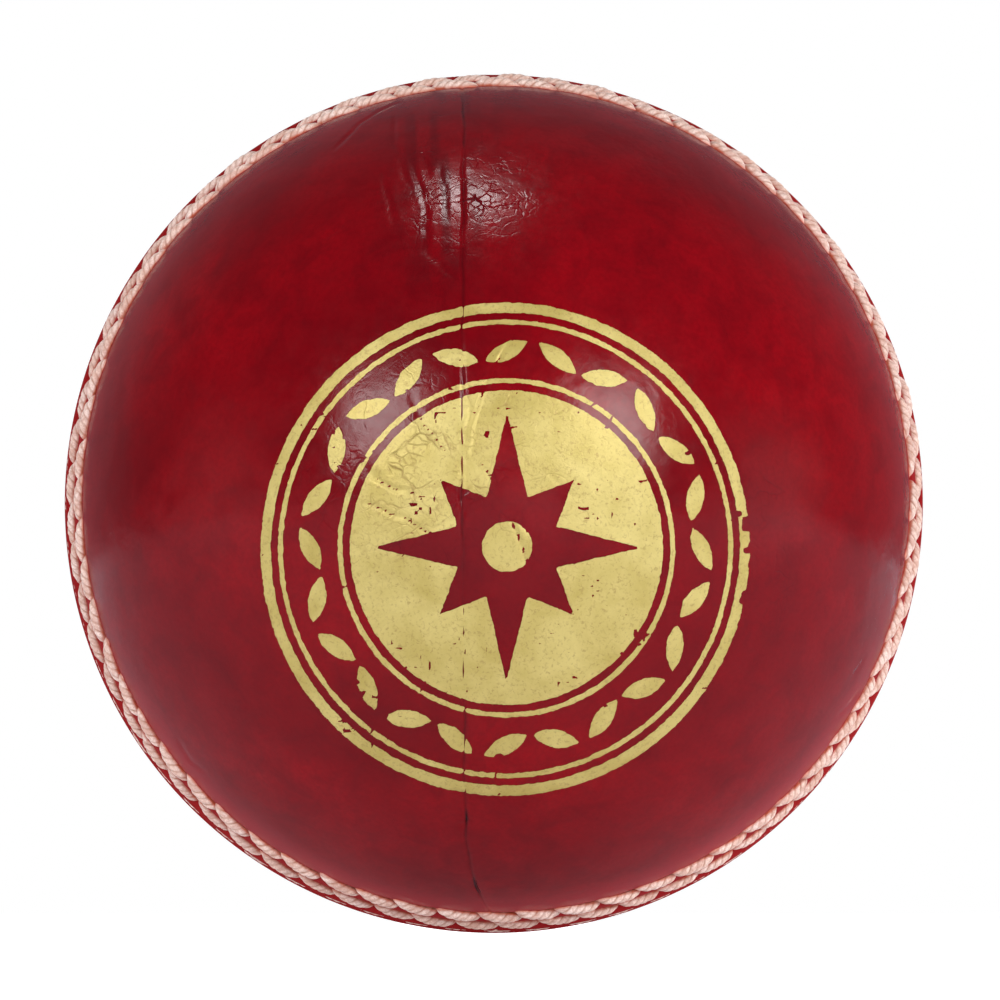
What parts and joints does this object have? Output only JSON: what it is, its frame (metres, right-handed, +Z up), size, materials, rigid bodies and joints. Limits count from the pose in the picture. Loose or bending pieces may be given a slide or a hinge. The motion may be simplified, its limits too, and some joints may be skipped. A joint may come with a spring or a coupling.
{
  "type": "cricket ball",
  "caption": "Hand-stitched red leather cricket ball with a raised seam, quarter seams, a gilt ornament stamped on one cup, and a quilted cork and yarn core",
  "frame": {"origin": "centre of the ball", "axes": "+Y is the polar axis, square to the seam plane and pointing out of the plain cup; the stamped cup faces -Y; +Z is up; the seam lies in the XZ plane"},
  "size_m": [0.0728, 0.0716, 0.0728],
  "materials": {
    "red_leather": "polished, lacquered crimson leather with fine grain, creases and small nicks",
    "seam_thread": "waxed three-ply linen thread, tinged by the red dye of the leather",
    "gilt_foil": "pale matt gold hot-stamped foil, slightly cracked and worn at its edges",
    "closing_thread": "waxed thread, hidden inside the cups",
    "lining_leather": "thin undyed lining leather, flesh side out",
    "winding_yarn": "wet-wound worsted wool yarn",
    "layer_cork": "thin curved slips of natural cork",
    "nucleus_cork_rubber": "moulded cork and rubber compound with visible cork granules"
  },
  "bodies": {
    "root": {"core_nucleus": "nucleus_cork_rubber", "yarn_winding_1": "winding_yarn", "cork_layer_1": "layer_cork", "yarn_winding_2": "winding_yarn", "cork_layer_2": "layer_cork", "yarn_winding_3": "winding_yarn", "lining_front": "lining_leather", "lining_rear": "lining_leather", "leather_front_left": "red_leather", "leather_front_right": "red_leather", "leather_rear_upper": "red_leather", "leather_rear_lower": "red_leather", "closing_thread_front": "closing_thread", "closing_thread_rear": "closing_thread", "stitches_front_inner": "seam_thread", "stitches_front_middle": "seam_thread", "stitches_front_outer": "seam_thread", "stitches_rear_inner": "seam_thread", "stitches_rear_middle": "seam_thread", "stitches_rear_outer": "seam_thread", "cross_threads_inner": "seam_thread", "cross_threads_middle": "seam_thread", "cross_threads_outer": "seam_thread", "stamp_foil": "gilt_foil"}
  },
  "joints": []
}
